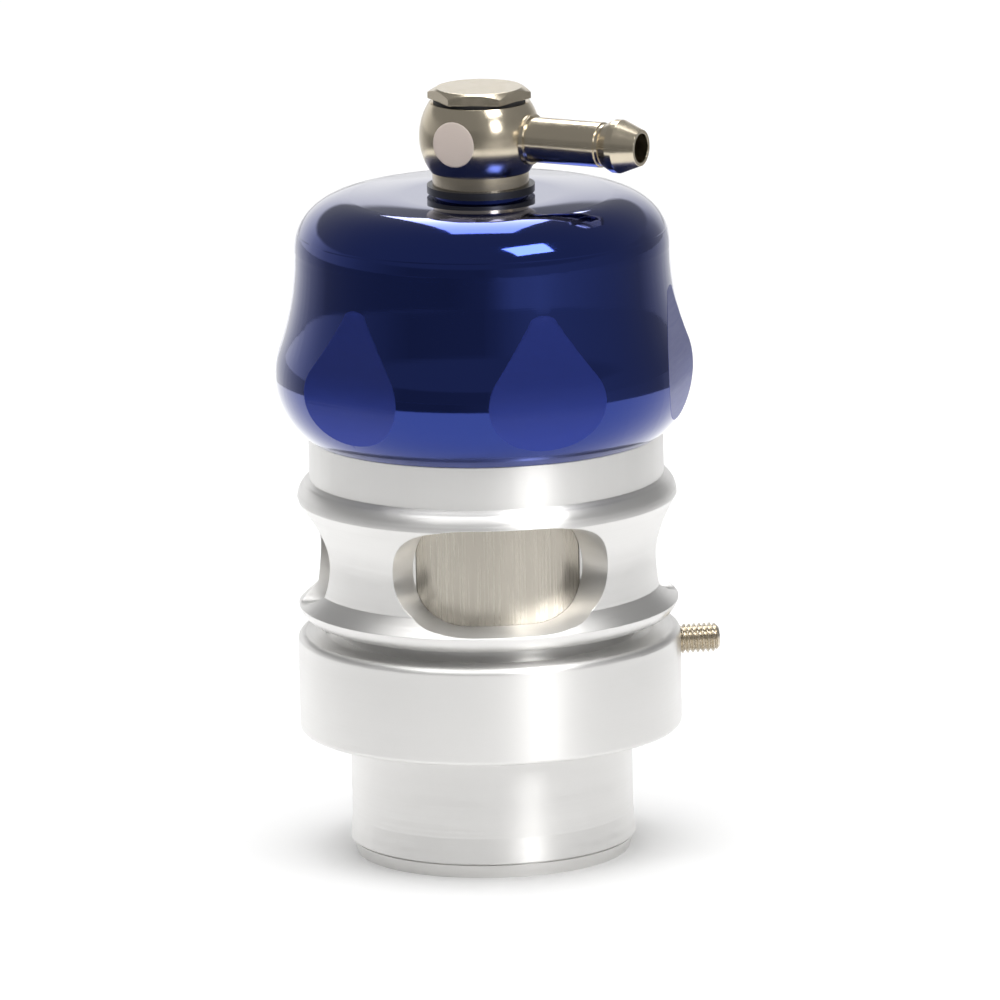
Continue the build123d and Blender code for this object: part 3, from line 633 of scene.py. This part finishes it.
# Studio: a white bench before a bright wall, a tall soft box high behind, and a lamp high at the front right.
# The soft box shines on the polished pieces alone: the satin metals have a weaker one, a glow overhead and a
# low lamp of their own. The bench's far front lies in the dark, which only reflections show: a dim ring
# stands for it. The top light shines on everything, and shows in no reflection.
satin = ("machined_aluminium", "washer_alloy")
studio = {
    "benchReach": 3.0, "benchColour": "#FFFFFF", "benchRoughness": 0.9, "benchSpecular": 0.1,
    "dimRing": {"inner": 0.30, "outer": 3.0, "halfAngle": 160.0, "height": 0.0005, "steps": 100},
    "lampAim": 0.06,
    "lamps": {  # angle is from the camera's direction towards its right
        "softBox": {
            "angle": 179.0, "elevation": 58.0, "distance": 1.1, "size": (0.40, 1.05), "radiance": 6.0,
            "lights": [slot for slot in materials if slot not in satin],
        },
        "satinBox": {
            "angle": 179.0, "elevation": 58.0, "distance": 1.1, "size": (0.40, 1.05), "radiance": 2.0,
            "lights": satin,
        },
        "kicker": {
            "angle": 40.0, "elevation": 53.0, "distance": 1.1, "size": (0.40, 0.34), "radiance": 11.0,
            "lights": list(materials),
        },
        "lowLamp": {
            "angle": 33.0, "elevation": 26.0, "distance": 1.1, "size": (0.30, 0.34), "radiance": 7.0,
            "lights": [*satin, "piston_aluminium", "nickel_plate"],
        },
        "topGlow": {
            "angle": 0.0, "elevation": 85.0, "distance": 1.5, "size": (2.0, 2.0), "radiance": 2.5,
            "lights": satin,
        },
        "topLight": {
            "angle": 0.0, "elevation": 85.0, "distance": 1.5, "size": (2.0, 2.0), "radiance": 2.8,
            "hidden": True,
        },
    },
    # Brightness by the angle from the camera's direction towards its right: the room's at eye level, and the
    # dim ring's
    "room": [
        (-180, 1.0), (-150, 1.0), (-138, 0.9), (-112, 0.5), (-80, 0.3), (-45, 0.18), (0, 0.20), (29, 0.42),
        (50, 0.38), (77, 0.33), (110, 0.25), (125, 0.25), (145, 0.4), (160, 0.8), (180, 1.0),
    ],
    "ring": [
        (-180, 0.9), (-150, 0.8), (-130, 0.5), (-108, 0.22), (-65, 0.18), (-19, 0.17), (2, 0.22), (18, 0.55),
        (34, 0.62), (50, 0.48), (77, 0.36), (108, 0.26), (130, 0.45), (150, 0.7), (180, 0.9),
    ],
    "upperRoom": 0.28, "upperFrom": 0.27, "upperTo": 0.31,
}


def placeLamp(name, look):
    light = bpy.data.lights.new(name, "AREA")
    light.shape = "RECTANGLE"
    light.size, light.size_y = look["size"]
    light.energy = look["radiance"] * pi * light.size * light.size_y
    lamp = bpy.data.objects.new(name, light)
    bpy.context.scene.collection.objects.link(lamp)
    outward, sideways = headings(view["azimuth"])
    angle, elevation = radians(look["angle"]), radians(look["elevation"])
    level = outward * cos(angle) + sideways * sin(angle)
    towards = level * cos(elevation) + Vector((0, 0, sin(elevation)))
    lamp.location = towards * look["distance"] + Vector((0, 0, studio["lampAim"]))
    lamp.rotation_euler = towards.to_track_quat("Z", "Y").to_euler()
    lamp.visible_glossy = not look.get("hidden", False)
    if "lights" in look:
        lit = bpy.data.collections.new(name + "Lights")
        wanted = [materials[slot] for slot in look["lights"]]
        for piece in bpy.context.scene.objects:
            if piece.type == "MESH" and piece.data.materials and piece.data.materials[0] in wanted:
                lit.objects.link(piece)
        lamp.light_linking.receiver_collection = lit


def levelAround(tree, towards, levels):
    # Brightness that follows the angle about the upright axis
    outward, sideways = headings(view["azimuth"])
    front = addNode(tree, "ShaderNodeVectorMath", {0: towards, 1: outward}, operation="DOT_PRODUCT")
    right = addNode(tree, "ShaderNodeVectorMath", {0: towards, 1: sideways}, operation="DOT_PRODUCT")
    angle = addNode(tree, "ShaderNodeMath", {0: right.outputs["Value"], 1: front.outputs["Value"]},
                    operation="ARCTAN2")
    share = addNode(tree, "ShaderNodeMapRange", {"Value": angle, "From Min": -pi, "From Max": pi})
    ramp = addNode(tree, "ShaderNodeValToRGB", {0: share})
    brightest = max(level for place, level in levels)
    stops = ramp.color_ramp.elements
    for index, (place, level) in enumerate(levels):
        atEnd = {0: stops[0], len(levels) - 1: stops[-1]}.get(index)
        stop = atEnd or stops.new((place + 180) / 360)
        stop.color = (level / brightest,) * 3 + (1,)
    return addNode(tree, "ShaderNodeMath", {0: ramp, 1: brightest}, operation="MULTIPLY")


def buildRoom():
    world = bpy.data.worlds.new("room")
    bpy.context.scene.world = world
    world.use_nodes = True
    tree = world.node_tree
    tree.nodes.clear()
    towards = addNode(tree, "ShaderNodeTexCoord").outputs["Generated"]
    height = addNode(tree, "ShaderNodeSeparateXYZ", {0: towards}).outputs[2]
    upper = addNode(tree, "ShaderNodeMapRange", {
        "Value": height, "From Min": studio["upperFrom"], "From Max": studio["upperTo"]})
    level = addNode(tree, "ShaderNodeMix", {
        "Factor": upper, "A": levelAround(tree, towards, studio["room"]), "B": studio["upperRoom"]},
        data_type="FLOAT")
    back = addNode(tree, "ShaderNodeBackground", {"Color": (1, 1, 1, 1), "Strength": level})
    addNode(tree, "ShaderNodeOutputWorld", {"Surface": back})


def stagePiece(name, points, faces, material):
    mesh = bpy.data.meshes.new(name)
    mesh.from_pydata(points, [], faces)
    mesh.materials.append(material)
    piece = bpy.data.objects.new(name, mesh)
    bpy.context.scene.collection.objects.link(piece)
    return piece


def buildBench():
    paint = bpy.data.materials.new("whiteBench")
    paint.use_nodes = True
    shader = paint.node_tree.nodes["Principled BSDF"]
    shader.inputs["Base Color"].default_value = linear(studio["benchColour"])
    shader.inputs["Roughness"].default_value = studio["benchRoughness"]
    shader.inputs["Specular IOR Level"].default_value = studio["benchSpecular"]
    reach = studio["benchReach"]
    corners = [(-reach, -reach, 0), (reach, -reach, 0), (reach, reach, 0), (-reach, reach, 0)]
    stagePiece("bench", corners, [(0, 1, 2, 3)], paint)


def buildDimRing():
    look = studio["dimRing"]
    dark = bpy.data.materials.new("darkRoom")
    dark.use_nodes = True
    tree = dark.node_tree
    tree.nodes.clear()
    place = addNode(tree, "ShaderNodeTexCoord").outputs["Object"]
    glow = addNode(tree, "ShaderNodeEmission", {"Strength": levelAround(tree, place, studio["ring"])})
    addNode(tree, "ShaderNodeOutputMaterial", {"Surface": glow})
    outward, sideways = headings(view["azimuth"])
    points = []
    for step in range(look["steps"] + 1):
        angle = radians(look["halfAngle"]) * (2 * step / look["steps"] - 1)
        towards = outward * cos(angle) + sideways * sin(angle)
        for radius in (look["inner"], look["outer"]):
            points.append(towards * radius + Vector((0, 0, look["height"])))
    faces = [(2 * step, 2 * step + 1, 2 * step + 3, 2 * step + 2) for step in range(look["steps"])]
    ring = stagePiece("dimRing", points, faces, dark)
    ring.visible_camera = ring.visible_diffuse = ring.visible_shadow = ring.visible_transmission = False


def buildStudio():
    buildBench()
    buildDimRing()
    for name, look in studio["lamps"].items():
        placeLamp(name, look)
    buildRoom()


buildStudio()
print("studio built")
